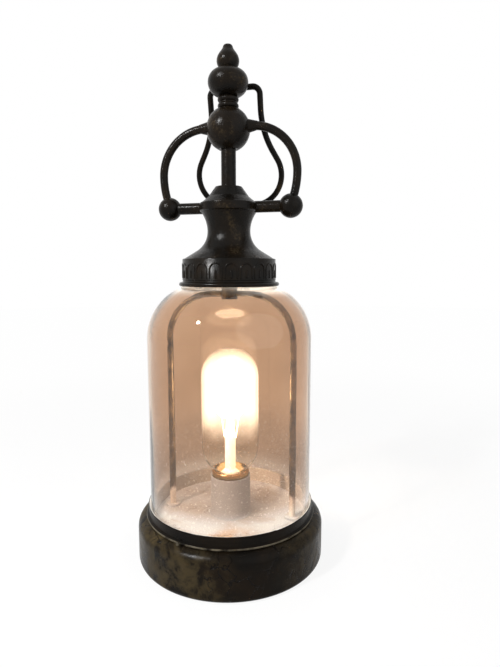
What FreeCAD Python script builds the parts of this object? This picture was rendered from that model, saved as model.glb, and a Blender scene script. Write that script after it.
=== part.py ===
"""Lantern table lamp: spun drum base, open bell jar over a rod hoop, tubular bulb, and a
turned crown with scroll arms that screws onto the hoop's stud. Millimetres, +Z up, origin
at the centre of the underside, bars along X, hanging loop at the back (+Y)."""
import FreeCAD, Part
import math
import os
import re
import Sketcher

PARTS_FOLDER = "parts"
os.makedirs(PARTS_FOLDER, exist_ok=True)
doc = FreeCAD.newDocument("LanternLamp")
sheet = doc.addObject("Spreadsheet::Sheet", "Sizes")

# ---------------------------------------------------------------- driving sizes
SIZES = [
    # drum base: spun steel with a stepped seat in its top
    ("drum_radius", "72.5"), ("drum_height", "34"), ("drum_wall", "1.2"), ("drum_shoulder", "8"),
    ("drum_foot", "3.5"), ("drum_lip", "1.5"), ("deck_drop", "4.5"), ("deck_bore", "40"),
    # rim ring that stands in the seat and keeps the jar in place
    ("rim_wall", "1.2"), ("rim_rise", "9.5"), ("rim_bead", "0.9"), ("rim_bead_reach", "0.8"),
    # white pan on the deck
    ("pan_sheet", "1.2"), ("pan_height", "2"), ("pan_corner", "0.8"),
    # underside: cover, felt, brackets and screws
    ("cover_sheet", "1.2"), ("felt_thickness", "1.5"), ("bracket_sheet", "1.2"), ("bracket_width", "10"),
    ("bracket_reach", "16"), ("bracket_rise", "9"), ("screw_edge", "7"), ("screw_radius", "1.5"),
    ("screw_head", "3.2"), ("screw_head_height", "1.1"), ("screw_length", "7"), ("cover_screw_count", "3"),
    # cord outlet at the back
    ("outlet_bore", "3.25"), ("outlet_height", "13"), ("grommet_wall", "2"), ("grommet_flange", "2"),
    ("grommet_flange_sheet", "1.2"),
    # bell jar
    ("jar_play", "0.7"), ("jar_wall", "2.5"), ("jar_straight", "140"), ("jar_shoulder", "42"),
    ("jar_neck", "33"), ("jar_neck_top", "52.5"), ("jar_neck_fillet", "2.5"), ("jar_edge", "1"),
    # hoop of round rod
    ("hoop_rod", "2.5"), ("hoop_inset", "13"), ("hoop_rise", "34.4"), ("hoop_corner", "36"),
    ("hoop_tail", "8"), ("collar_foot_radius", "6"), ("collar_foot_height", "1.6"),
    ("washer_radius", "5"), ("washer_height", "1"), ("nut_flats", "8"), ("nut_height", "4"),
    ("boss_radius", "6"), ("boss_below", "2"), ("boss_above", "4.5"), ("stud_radius", "4"),
    ("stud_headroom", "1.5"), ("stud_point", "1"),
    # lampholder on its nipple
    ("nipple_radius", "5"), ("nipple_bore", "3.5"), ("nipple_length", "14"), ("nipple_nut_flats", "14"),
    ("nipple_nut_height", "3"), ("holder_gap", "0.25"), ("holder_height", "13"), ("holder_wall", "10.2"),
    ("thread_play", "0.4"), ("shell_wall", "0.45"), ("shell_roll", "2.1"),
    ("shell_roll_reach", "0.8"), ("sleeve_air", "1.05"), ("sleeve_wall", "0.8"), ("shell_drop", "0.2"),
    ("sleeve_foot_reach", "1.45"), ("sleeve_foot_height", "0.9"), ("tongue_radius", "3"),
    ("tongue_height", "1.5"),
    # terminal block inside the drum
    ("block_length", "18"), ("block_width", "12"), ("block_height", "11"), ("block_offset", "24"),
    ("lead_radius", "1"), ("lead_spread", "2.4"), ("lead_bend", "5"),
    # tubular bulb
    ("bulb_radius", "22.4"), ("bulb_straight", "56"), ("bulb_wall", "0.8"), ("cap_radius", "13.05"),
    ("cap_wall", "0.35"), ("cap_height", "20"), ("cap_taper", "2"), ("cap_insulator", "2.6"),
    ("cap_insulator_foot", "5"), ("contact_radius", "4.6"), ("contact_height", "0.9"), ("bulb_rest", "0.3"),
    ("stem_radius", "4.2"), ("stem_height", "46"), ("filament_radius", "0.5"),
    ("filament_half_width", "10"), ("filament_height", "66"), ("support_radius", "0.4"),
    # crown: band, bell, hub
    ("band_play", "0.9"), ("band_wall", "1.2"), ("band_height", "18.8"), ("lip_bead", "1.6"),
    ("lip_reach", "1.2"), ("band_step", "1.2"), ("waist_radius", "16.1"), ("waist_rise", "20.5"),
    ("bell_wall", "1.2"), ("bell_sweep", "17"), ("bell_sweep_angle", "60.5"), ("bell_flare", "24"),
    ("bell_top_rise", "14.2"), ("gasket_height", "1.8"), ("hub_sheet", "1.5"), ("hub_radius", "7"),
    ("hub_below", "5"), ("hub_above", "8"), ("hub_cap", "3"), ("rod_radius", "2.5"),
    # crown: collar, bars, balls
    ("collar_radius", "22.05"), ("collar_height", "6.6"), ("collar_round", "1.4"), ("collar_spigot", "2"),
    ("collar_wall", "2.2"), ("cone_mid_radius", "15.2"), ("cone_mid_rise", "4.4"),
    ("cone_neck_radius", "12.4"), ("cone_neck_rise", "8.3"), ("cone_top_radius", "10"),
    ("cone_rise", "11.6"),
    ("bar_radius", "4.25"), ("arm_ball_radius", "8.75"), ("arm_reach", "46.8"),
    # crown: stem, balls, finial
    ("stem_tube_radius", "5.5"), ("stem_tube_length", "27"), ("large_ball_radius", "16.1"),
    ("large_ball_flat", "7.4"), ("spacer_core", "6.5"), ("spacer_bead", "1.9"),
    ("spacer_height", "8.2"), ("upper_ball_radius", "14.75"), ("upper_ball_top", "9"),
    ("upper_ball_bottom", "10.2"), ("finial_foot", "5.6"), ("finial_radius", "7.85"),
    ("finial_belly", "5.4"),
    ("finial_shoulder", "12.4"), ("finial_tip", "3.5"), ("finial_height", "17"),
    # scroll arms
    ("scroll_radius", "3.05"), ("scroll_bulge", "4.5"), ("scroll_start", "18"), ("scroll_rise", "1.4"),
    ("scroll_tuck", "60"), ("scroll_seat", "6.75"), ("weld_radius", "5"), ("weld_length", "6"),
    # hanging loop and its lug
    ("loop_wire", "2.25"), ("loop_reach", "38"), ("loop_level", "6.4"), ("loop_foot", "11"),
    ("loop_lobe", "23"), ("loop_lobe_angle", "29"), ("loop_neck_half", "19.6"), ("loop_sweep", "65"),
    ("loop_height", "86.8"), ("loop_corner", "5.5"), ("lug_width", "7"), ("lug_eye_wall", "2.2"),
    # clearances
    ("fit_gap", "0.1"), ("rest_gap", "0.3"), ("seat_gap", "0.1"), ("pin_gap", "0.08"), ("hole_gap", "0.2"),
]
# places that follow from the sizes above
PLACES = [
    ("deck_level", "drum_height - deck_drop"),
    ("rim_radius", "drum_radius - drum_shoulder - fit_gap"),
    ("rim_top", "drum_height + rim_rise"),
    ("rim_bead_level", "drum_height + fit_gap + rim_bead"),
    ("pan_radius", "rim_radius - rim_wall - fit_gap"),
    ("pan_top", "deck_level + pan_height"),
    ("cover_radius", "drum_radius - drum_foot - drum_lip - rest_gap"),
    ("bracket_level", "felt_thickness + cover_sheet"),
    ("bracket_circle", "cover_radius - screw_edge"),
    ("jar_radius", "rim_radius - rim_wall - jar_play"),
    ("jar_foot", "pan_top + seat_gap"),
    ("jar_centre_radius", "jar_radius - jar_shoulder"),
    ("jar_shoulder_level", "jar_foot + jar_straight"),
    ("jar_fillet_radius", "jar_neck + jar_neck_fillet"),
    ("jar_fillet_run", "jar_fillet_radius - jar_centre_radius"),
    ("jar_fillet_span", "jar_shoulder + jar_neck_fillet"),
    ("jar_fillet_rise", "sqrt(jar_fillet_span ^ 2 - jar_fillet_run ^ 2)"),
    ("jar_fillet_level", "jar_shoulder_level + jar_fillet_rise"),
    ("jar_mouth", "jar_shoulder_level + jar_neck_top"),
    ("hoop_reach", "jar_radius - hoop_inset"),
    ("hoop_level", "jar_shoulder_level + hoop_rise"),
    ("holder_foot", "pan_top"),
    ("shell_bore", "cap_radius + thread_play"),
    ("holder_radius", "shell_bore - holder_gap"),
    ("sleeve_radius", "shell_bore + shell_wall + sleeve_air + sleeve_wall"),
    ("tongue_top", "holder_foot + holder_wall + tongue_height"),
    ("contact_foot", "tongue_top + bulb_rest"),
    ("cap_foot", "contact_foot + contact_height + cap_insulator"),
    ("cap_top", "cap_foot + cap_height"),
    ("shell_top", "cap_top - shell_drop"),
    ("sleeve_top", "shell_top - 2 * shell_roll - seat_gap"),
    ("bulb_neck", "cap_radius - cap_wall - hole_gap"),
    ("bulb_low_centre", "cap_top + sqrt(bulb_radius ^ 2 - bulb_neck ^ 2)"),
    ("bulb_high_centre", "bulb_low_centre + bulb_straight"),
    ("gasket_foot", "jar_mouth + seat_gap"),
    ("hub_foot", "gasket_foot + gasket_height"),
    ("hub_top", "hub_foot + hub_sheet"),
    ("stud_top", "hub_top + hub_above - hub_cap - stud_headroom"),
    ("band_radius", "jar_neck + band_play + band_wall"),
    ("lip_centre_radius", "band_radius + lip_reach"),
    ("lip_span", "jar_shoulder + lip_bead + rest_gap"),
    ("lip_level", "jar_shoulder_level + sqrt(lip_span ^ 2 - (lip_centre_radius - jar_centre_radius) ^ 2)"),
    ("band_bore", "band_radius - band_wall"),
    ("band_top", "lip_level + band_height"),
    ("waist_level", "band_top + waist_rise"),
    ("bell_sweep_centre", "waist_radius + bell_sweep"),
    ("bell_flare_centre", "waist_radius + bell_flare"),
    ("bell_top", "waist_level + bell_top_rise"),
    ("bell_top_radius", "bell_flare_centre - sqrt(bell_flare ^ 2 - bell_top_rise ^ 2)"),
    ("bell_bore_radius", "bell_flare_centre - sqrt((bell_flare + bell_wall) ^ 2 - bell_top_rise ^ 2)"),
    ("spigot_span", "sqrt((bell_flare + bell_wall) ^ 2 - (bell_top_rise - collar_spigot) ^ 2)"),
    ("spigot_radius", "bell_flare_centre - spigot_span - seat_gap"),
    ("collar_top", "bell_top + collar_height"),
    ("collar_middle", "bell_top + collar_height / 2"),
    ("cone_top", "collar_top + cone_rise"),
    ("large_ball_low", "sqrt(large_ball_radius ^ 2 - large_ball_flat ^ 2)"),
    ("large_ball_centre", "cone_top + stem_tube_length + large_ball_low"),
    ("spacer_foot", "large_ball_centre + large_ball_low"),
    ("spacer_top", "spacer_foot + spacer_height"),
    ("upper_ball_core_low", "upper_ball_radius - upper_ball_bottom"),
    ("upper_ball_core_high", "upper_ball_radius - upper_ball_top"),
    ("upper_ball_centre", "spacer_top + upper_ball_bottom"),
    ("upper_ball_crest", "upper_ball_centre + upper_ball_top"),
    ("scroll_level", "large_ball_centre + scroll_rise"),
    ("scroll_reach", "arm_reach + scroll_bulge"),
    ("scroll_sweep", "scroll_reach - scroll_start"),
    ("scroll_side_level", "scroll_level - scroll_sweep"),
    ("scroll_drop", "scroll_side_level - collar_middle - scroll_seat"),
    ("scroll_tuck_angle", "asin(scroll_drop / scroll_tuck)"),
    ("loop_axis_level", "collar_middle + loop_level"),
    ("loop_rest_reach", "upper_ball_radius + loop_wire + rest_gap"),
    ("loop_lean", "asin((loop_reach - loop_rest_reach) / loop_height)"),
    ("loop_lobe_x", "loop_foot + loop_lobe * cos(loop_lobe_angle)"),
    ("loop_lobe_y", "loop_lobe + loop_lobe * sin(loop_lobe_angle)"),
    ("loop_neck_x", "loop_neck_half + loop_sweep * (1 - cos(loop_lobe_angle))"),
    ("loop_neck_y", "loop_lobe_y + (loop_lobe_x - loop_neck_x) / tan(loop_lobe_angle)"),
    ("loop_throat_y", "loop_neck_y + loop_sweep * sin(loop_lobe_angle)"),
]

for row, (alias, formula) in enumerate(SIZES + PLACES, start=1):
    cell = "B%d" % row
    sheet.set("A%d" % row, alias)
    sheet.set(cell, formula if row <= len(SIZES) else "=" + formula)
    sheet.setAlias(cell, alias)
doc.recompute()
ALIASES = {alias for alias, formula in SIZES + PLACES}


def size(alias):
    """The value of one named cell."""
    cell_value = sheet.get(alias)
    return float(getattr(cell_value, "Value", cell_value))


def number(formula):
    """The present value of a formula in the sheet's names."""
    result = sheet.evalExpression(formula)
    return float(getattr(result, "Value", result))


def linked(formula):
    """The formula with every sheet name written as a reference to the sheet."""
    return re.sub(r"[a-z_]+", lambda word: "Sizes." + word[0] if word[0] in ALIASES else word[0], formula)


def bind(thing, prop, formula):
    thing.setExpression(prop, linked(formula))


def place(thing, x="0", y="0", z="0"):
    for axis, formula in (("x", x), ("y", y), ("z", z)):
        bind(thing, "Placement.Base." + axis, formula)
    return thing


def turn(thing, axis, degrees):
    thing.Placement = FreeCAD.Placement(thing.Placement.Base, FreeCAD.Rotation(axis, degrees))
    return thing


# ---------------------------------------------------------------- sketches
def origin_plane(body, role):
    return next(plane for plane in body.Origin.OriginFeatures if plane.Role == role)


def new_sketch(body, name, role):
    sketch = body.newObject("Sketcher::SketchObject", name)
    sketch.AttachmentSupport = [(origin_plane(body, role), "")]
    sketch.MapMode = "FlatFace"
    return sketch


def pin_down(sketch, edge, point, x, y):
    """Fix a point of a sketch edge at (x, y), each a formula of the sheet."""
    for kind, axis, formula in (("DistanceX", -2, x), ("DistanceY", -1, y)):
        if formula == "0":
            sketch.addConstraint(Sketcher.Constraint("PointOnObject", edge, point, axis))
            continue
        index = sketch.addConstraint(Sketcher.Constraint(kind, -1, 1, edge, point, number(formula)))
        sketch.setExpression("Constraints[%d]" % index, linked(formula))


def arc_between(start, end, radius):
    """Arc from start to end; a positive radius turns left, a negative one turns right."""
    first, last = (start, end) if radius > 0 else (end, start)
    chord = last - first
    reach = abs(radius)
    height = math.sqrt(max(reach ** 2 - (chord.Length / 2) ** 2, 0))
    left = FreeCAD.Vector(-chord.y, chord.x, 0).normalize()
    centre = first + chord * 0.5 + left * height
    angles = [math.atan2(point.y - centre.y, point.x - centre.x) for point in (first, last)]
    return Part.ArcOfCircle(Part.Circle(centre, FreeCAD.Vector(0, 0, 1), reach), angles[0], angles[1])


def trace(sketch, corners, closed=True):
    """Draw lines and arcs through corners (x, y) or (x, y, radius of the arc to the next)."""
    points = [FreeCAD.Vector(number(corner[0]), number(corner[1]), 0) for corner in corners]
    ends = []
    for index in range(len(corners) if closed else len(corners) - 1):
        follower = (index + 1) % len(corners)
        if len(corners[index]) == 2:
            edge = sketch.addGeometry(Part.LineSegment(points[index], points[follower]))
            ends.append((edge, 1, 2))
            continue
        radius = number(corners[index][2])
        edge = sketch.addGeometry(arc_between(points[index], points[follower], radius))
        ends.append((edge, 1, 2) if radius > 0 else (edge, 2, 1))
    for (edge, start, end), (next_edge, next_start, next_end) in zip(ends, ends[1:] + ends[:1]):
        if closed or next_edge != ends[0][0]:
            sketch.addConstraint(Sketcher.Constraint("Coincident", edge, end, next_edge, next_start))
    for (edge, start, end), corner in zip(ends, corners):
        pin_down(sketch, edge, start, corner[0], corner[1])
        if len(corner) == 3:
            radius = corner[2].lstrip("-") if corner[2].startswith("-") else corner[2]
            bend = sketch.addConstraint(Sketcher.Constraint("Radius", edge, number(radius)))
            sketch.setExpression("Constraints[%d]" % bend, linked(radius))
    if not closed:
        pin_down(sketch, ends[-1][0], ends[-1][2], corners[-1][0], corners[-1][1])
    return sketch


def turned(node, corners):
    """A turned or spun piece: a closed profile in the XZ plane, revolved about Z."""
    body = doc.addObject("PartDesign::Body", node)
    profile = trace(new_sketch(body, node + "_profile", "XZ_Plane"), corners)
    revolve = body.newObject("PartDesign::Revolution", node + "_turning")
    revolve.Profile = profile
    revolve.ReferenceAxis = (profile, ["V_Axis"])
    revolve.Angle = 360
    return body


def bent_rod(node, route, radius, start_y, mirrored, start_x="0"):
    """Round rod swept along an open route in the XZ plane from a circle at its first point."""
    body = doc.addObject("PartDesign::Body", node)
    path = trace(new_sketch(body, node + "_route", "XZ_Plane"), route, closed=False)
    section = new_sketch(body, node + "_section", "YZ_Plane")
    circle = section.addGeometry(Part.Circle(FreeCAD.Vector(0, number(start_y), 0), FreeCAD.Vector(0, 0, 1),
                                             number(radius)))
    section.addConstraint(Sketcher.Constraint("PointOnObject", circle, 3, -2))
    if start_y == "0":
        section.addConstraint(Sketcher.Constraint("PointOnObject", circle, 3, -1))
    else:
        rise = section.addConstraint(Sketcher.Constraint("DistanceY", -1, 1, circle, 3, number(start_y)))
        section.setExpression("Constraints[%d]" % rise, linked(start_y))
    girth = section.addConstraint(Sketcher.Constraint("Radius", circle, number(radius)))
    section.setExpression("Constraints[%d]" % girth, linked(radius))
    bind(section, "AttachmentOffset.Base.z", start_x)
    sweep = body.newObject("PartDesign::AdditivePipe", node + "_sweep")
    sweep.Profile = section
    sweep.Spine = (path, ["Edge%d" % (index + 1) for index in range(len(route) - 1)])
    doc.recompute()
    if mirrored:
        mirror = body.newObject("PartDesign::Mirrored", node + "_mirror")
        mirror.Originals = [sweep]
        mirror.MirrorPlane = (origin_plane(body, "YZ_Plane"), [""])
        body.Tip = mirror
    return body


def cylinder(name, radius, height, x="0", y="0", z="0"):
    solid = doc.addObject("Part::Cylinder", name)
    bind(solid, "Radius", radius)
    bind(solid, "Height", height)
    return place(solid, x, y, z)


def ball(name, radius, x="0", y="0", z="0"):
    solid = doc.addObject("Part::Sphere", name)
    bind(solid, "Radius", radius)
    return place(solid, x, y, z)


def prism(name, flats, height, x="0", y="0", z="0"):
    """Six-sided nut blank, sized across its flats."""
    solid = doc.addObject("Part::Prism", name)
    solid.Polygon = 6
    bind(solid, "Circumradius", flats + " / 2 / cos(30)")
    bind(solid, "Height", height)
    return place(solid, x, y, z)


def block(name, length, width, height, x="0", y="0", z="0"):
    solid = doc.addObject("Part::Box", name)
    bind(solid, "Length", length)
    bind(solid, "Width", width)
    bind(solid, "Height", height)
    return place(solid, x, y, z)


def cut(name, base, *tools):
    """Base less each tool in turn."""
    for index, tool in enumerate(tools):
        result = doc.addObject("Part::Cut", name if index == len(tools) - 1 else name + "_cut")
        result.Base = base
        result.Tool = tool
        base = result
    return base


def fuse(name, *solids):
    result = doc.addObject("Part::MultiFuse", name)
    result.Shapes = list(solids)
    return result


def group(name, solids):
    """Like pieces that share a node and stay separate solids."""
    result = doc.addObject("Part::Compound", name)
    result.Links = list(solids)
    return result


NODES = []


def node(name, thing):
    """Give a finished piece its node name."""
    thing.Label = name
    NODES.append(thing)
    return thing


X_AXIS = FreeCAD.Vector(1, 0, 0)
Y_AXIS = FreeCAD.Vector(0, 1, 0)
SIDES = (("left", "-1 * "), ("right", ""))


# ---------------------------------------------------------------- drum base
def make_drum():
    """Spun steel drum: rolled foot, round shoulder, then a step down to a flat deck."""
    step = "(drum_radius - drum_shoulder + drum_wall)"
    inner_shoulder = "drum_shoulder - drum_wall"
    shoulder_meets_step = "drum_height - drum_shoulder + sqrt((%s) ^ 2 - drum_wall ^ 2)" % inner_shoulder
    shell = turned("drum_form", [
        ("drum_radius - drum_foot - drum_lip", "0"),
        ("drum_radius - drum_foot", "0", "drum_foot"),
        ("drum_radius", "drum_foot"),
        ("drum_radius", "drum_height - drum_shoulder", "drum_shoulder"),
        ("drum_radius - drum_shoulder", "drum_height"),
        ("drum_radius - drum_shoulder", "deck_level"),
        ("deck_bore", "deck_level"),
        ("deck_bore", "deck_level - drum_wall"),
        (step, "deck_level - drum_wall"),
        (step, shoulder_meets_step, "-(drum_shoulder - drum_wall)"),
        ("drum_radius - drum_wall", "drum_height - drum_shoulder"),
        ("drum_radius - drum_wall", "drum_foot", "-(drum_foot - drum_wall)"),
        ("drum_radius - drum_foot", "drum_wall"),
        ("drum_radius - drum_foot - drum_lip", "drum_wall"),
    ])
    rod_holes = [cylinder("deck_hole_" + side, "hoop_rod + hole_gap", "deck_drop * 2", sign + "hoop_reach",
                          z="deck_level - deck_drop") for side, sign in SIDES]
    outlet = turn(cylinder("outlet_hole", "outlet_bore + grommet_wall", "drum_wall * 6",
                           y="drum_radius + drum_wall", z="outlet_height"), X_AXIS, 90)
    return node("drum_shell", cut("drum_shell", shell, *rod_holes, outlet))


def make_rim():
    """Spun ring standing on the deck, with a bead that closes the joint with the drum."""
    bead_edge = "rim_radius + rim_bead_reach"
    node("rim_ring", turned("rim_ring", [
        ("rim_radius - rim_wall", "deck_level"),
        ("rim_radius", "deck_level"),
        ("rim_radius", "rim_bead_level - rim_bead"),
        (bead_edge, "rim_bead_level - rim_bead", "rim_bead"),
        (bead_edge, "rim_bead_level + rim_bead"),
        ("rim_radius", "rim_bead_level + rim_bead * 1.5"),
        ("rim_radius", "rim_top - rim_wall / 2", "rim_wall / 2 * 1.001"),
        ("rim_radius - rim_wall", "rim_top - rim_wall / 2"),
    ]))


def make_pan():
    """Pressed pan with a turned-down edge, drilled for the nipple and the hoop's ends."""
    dish = turned("pan_form", [
        ("nipple_radius + hole_gap", "pan_top - pan_sheet"),
        ("pan_radius - pan_sheet", "pan_top - pan_sheet"),
        ("pan_radius - pan_sheet", "deck_level"),
        ("pan_radius", "deck_level"),
        ("pan_radius", "pan_top - pan_corner", "pan_corner"),
        ("pan_radius - pan_corner", "pan_top"),
        ("nipple_radius + hole_gap", "pan_top"),
    ])
    rod_holes = [cylinder("pan_hole_" + side, "hoop_rod + hole_gap", "pan_height * 2", sign + "hoop_reach",
                          z="deck_level - pan_height / 2") for side, sign in SIDES]
    node("pan_plate", cut("pan_plate", dish, *rod_holes))


def make_underside(drum):
    """Steel cover held by screws in three soldered brackets, with a felt disc glued on."""
    cover = cylinder("cover_disc", "cover_radius", "cover_sheet", z="felt_thickness")
    felt = cylinder("felt_disc", "cover_radius", "felt_thickness")
    brackets = []
    screws = []
    count = int(size("cover_screw_count"))
    for index in range(count):
        # turned so that no bracket meets the cord outlet at the back
        angle = "(%d * 360 / cover_screw_count + 30)" % index
        x = "bracket_circle * cos%s" % angle
        y = "bracket_circle * sin%s" % angle
        hole = cylinder("cover_hole_%d" % index, "screw_radius + hole_gap", "cover_sheet * 3", x, y)
        well = cylinder("felt_well_%d" % index, "screw_head + rest_gap", "felt_thickness * 3", x, y,
                        "-1 * felt_thickness")
        cover = cut("cover_drilled_%d" % index, cover, hole)
        felt = cut("felt_punched_%d" % index, felt, well)
        foot = block("bracket_foot_%d" % index, "bracket_reach", "bracket_width", "bracket_sheet",
                     "drum_radius - drum_wall - bracket_reach", "-bracket_width / 2", "bracket_level")
        leg = block("bracket_leg_%d" % index, "bracket_sheet * 2", "bracket_width", "bracket_rise",
                    "drum_radius - drum_wall - bracket_sheet * 2", "-bracket_width / 2", "bracket_level")
        angle_piece = fuse("bracket_blank_%d" % index, foot, leg)
        inside = cylinder("drum_inside_%d" % index, "drum_radius - drum_wall", "bracket_rise * 2")
        trimmed = doc.addObject("Part::Common", "bracket_trimmed_%d" % index)
        trimmed.Base = angle_piece
        trimmed.Tool = inside
        bind(trimmed, "Placement.Rotation.Angle", angle)
        tapped = cylinder("bracket_hole_%d" % index, "screw_radius", "bracket_sheet * 4", x, y)
        brackets.append(cut("bracket_%d" % index, trimmed, tapped, drum))
        head = cylinder("screw_head_%d" % index, "screw_head", "screw_head_height", x, y,
                        "felt_thickness - screw_head_height")
        shank = cylinder("screw_shank_%d" % index, "screw_radius", "screw_length", x, y, "felt_thickness")
        screws.append(fuse("screw_%d" % index, head, shank))
    node("bottom_cover", cover)
    node("felt_pad", felt)
    node("cover_brackets", group("cover_brackets", brackets))
    node("cover_screws", group("cover_screws", screws))


def make_outlet(drum):
    """Rubber grommet in the drum's back wall; its groove grips the sheet."""
    barrel = "outlet_bore + grommet_wall"
    flange = "outlet_bore + grommet_wall + grommet_flange"
    groove = "drum_wall + 2 * fit_gap"
    grommet = turned("grommet_form", [
        ("outlet_bore", "0"),
        (flange, "0"),
        (flange, "grommet_flange_sheet"),
        (barrel, "grommet_flange_sheet"),
        (barrel, "grommet_flange_sheet + " + groove),
        (flange, "grommet_flange_sheet + " + groove),
        (flange, "2 * grommet_flange_sheet + " + groove),
        ("outlet_bore", "2 * grommet_flange_sheet + " + groove),
    ])
    turn(grommet, X_AXIS, 90)
    place(grommet, y="drum_radius + grommet_flange_sheet + fit_gap", z="outlet_height")
    node("cord_grommet", cut("cord_grommet", grommet, drum))


def make_terminals():
    """Terminal block on the cover with the two leads that rise into the nipple."""
    lead_exit = "bracket_level + block_height - lead_bend"
    body = block("terminal_body", "block_length", "block_width", "block_height",
                 "block_offset - block_length / 2", "-block_width / 2", "bracket_level")
    entry = [turn(cylinder("terminal_entry_%d" % side, "lead_radius + fit_gap", "block_length * 0.4",
                           "block_offset - block_length / 2 - fit_gap", "%d * lead_spread / 2" % side,
                           lead_exit),
                  Y_AXIS, 90) for side in (-1, 1)]
    node("terminal_block", cut("terminal_block", body, *entry))
    leads = []
    for side, rank in ((-1, "first"), (1, "second")):
        # horizontal out of the block, one wide bend, then up inside the nipple
        column = "lead_radius * 1.2"
        tip = "deck_level - nipple_nut_height - lead_bend"
        lead = doc.addObject("PartDesign::Body", "lead_" + rank)
        route = trace(new_sketch(lead, "lead_route_" + rank, "XZ_Plane"), [
            ("block_offset - block_length / 2 + lead_bend / 2", lead_exit),
            (column + " + lead_bend", lead_exit, "-lead_bend"),
            (column, lead_exit + " + lead_bend"),
            (column, tip + " + lead_bend"),
        ], closed=False)
        section = new_sketch(lead, "lead_section_" + rank, "YZ_Plane")
        circle = section.addGeometry(Part.Circle(FreeCAD.Vector(0, number(lead_exit), 0),
                                                 FreeCAD.Vector(0, 0, 1), size("lead_radius")))
        section.addConstraint(Sketcher.Constraint("PointOnObject", circle, 3, -2))
        rise = section.addConstraint(Sketcher.Constraint("DistanceY", -1, 1, circle, 3, number(lead_exit)))
        section.setExpression("Constraints[%d]" % rise, linked(lead_exit))
        girth = section.addConstraint(Sketcher.Constraint("Radius", circle, size("lead_radius")))
        section.setExpression("Constraints[%d]" % girth, linked("lead_radius"))
        bind(section, "AttachmentOffset.Base.z", "block_offset - block_length / 2 + lead_bend / 2")
        sweep = lead.newObject("PartDesign::AdditivePipe", "lead_sweep_" + rank)
        sweep.Profile = section
        sweep.Spine = (route, ["Edge1", "Edge2", "Edge3"])
        place(lead, y="%d * lead_spread / 2" % side)
        leads.append(lead)
    node("supply_leads", group("supply_leads", leads))


# ---------------------------------------------------------------- lampholder
def make_lampholder():
    """Moulded holder base with a brass screw shell, in a plain sleeve, on a hollow nipple."""
    node("lampholder_base", turned("lampholder_base", [
        ("nipple_radius", "holder_foot"),
        ("holder_radius", "holder_foot"),
        ("holder_radius", "holder_foot + holder_height"),
        ("holder_radius - 3 * shell_wall", "holder_foot + holder_height"),
        ("holder_radius - 3 * shell_wall", "holder_foot + holder_wall"),
        ("tongue_radius", "holder_foot + holder_wall"),
        ("tongue_radius", "holder_foot + holder_wall / 2"),
        ("nipple_radius", "holder_foot + holder_wall / 2"),
    ]))
    node("contact_tongue", turned("contact_tongue", [
        ("0", "holder_foot + holder_wall"),
        ("tongue_radius * 1.4", "holder_foot + holder_wall"),
        ("tongue_radius * 1.4", "tongue_top - tongue_height / 2"),
        ("tongue_radius", "tongue_top"),
        ("0", "tongue_top"),
    ]))
    shell = "shell_bore + shell_wall"
    roll = "shell_bore + shell_wall + shell_roll_reach"
    node("lampholder_shell", turned("lampholder_shell", [
        ("shell_bore", "holder_foot + holder_height / 2"),
        (shell, "holder_foot + holder_height / 2"),
        (shell, "shell_top - 2 * shell_roll", "shell_roll * 1.3"),
        (roll, "shell_top - shell_roll", "shell_roll * 1.3"),
        (shell, "shell_top"),
        ("shell_bore", "shell_top"),
    ]))
    node("candle_sleeve", turned("candle_sleeve", [
        ("sleeve_radius - sleeve_wall", "pan_top"),
        ("sleeve_radius + sleeve_foot_reach", "pan_top"),
        ("sleeve_radius + sleeve_foot_reach", "pan_top + sleeve_foot_height / 2"),
        ("sleeve_radius", "pan_top + sleeve_foot_height"),
        ("sleeve_radius", "sleeve_top"),
        ("sleeve_radius - sleeve_wall", "sleeve_top"),
    ]))
    nipple_foot = "holder_foot + holder_wall / 2 - nipple_length"
    tube = cylinder("nipple_rod", "nipple_radius", "nipple_length", z=nipple_foot)
    bore = cylinder("nipple_hole", "nipple_bore", "nipple_length * 1.2", z="holder_foot - nipple_length")
    node("nipple", cut("nipple", tube, bore))
    nut_level = "pan_top - pan_sheet - nipple_nut_height"
    blank = prism("nipple_nut_blank", "nipple_nut_flats", "nipple_nut_height", z=nut_level)
    thread = cylinder("nipple_nut_hole", "nipple_radius", "nipple_nut_height * 1.2", z=nut_level)
    node("nipple_nut", cut("nipple_nut", blank, thread))


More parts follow.
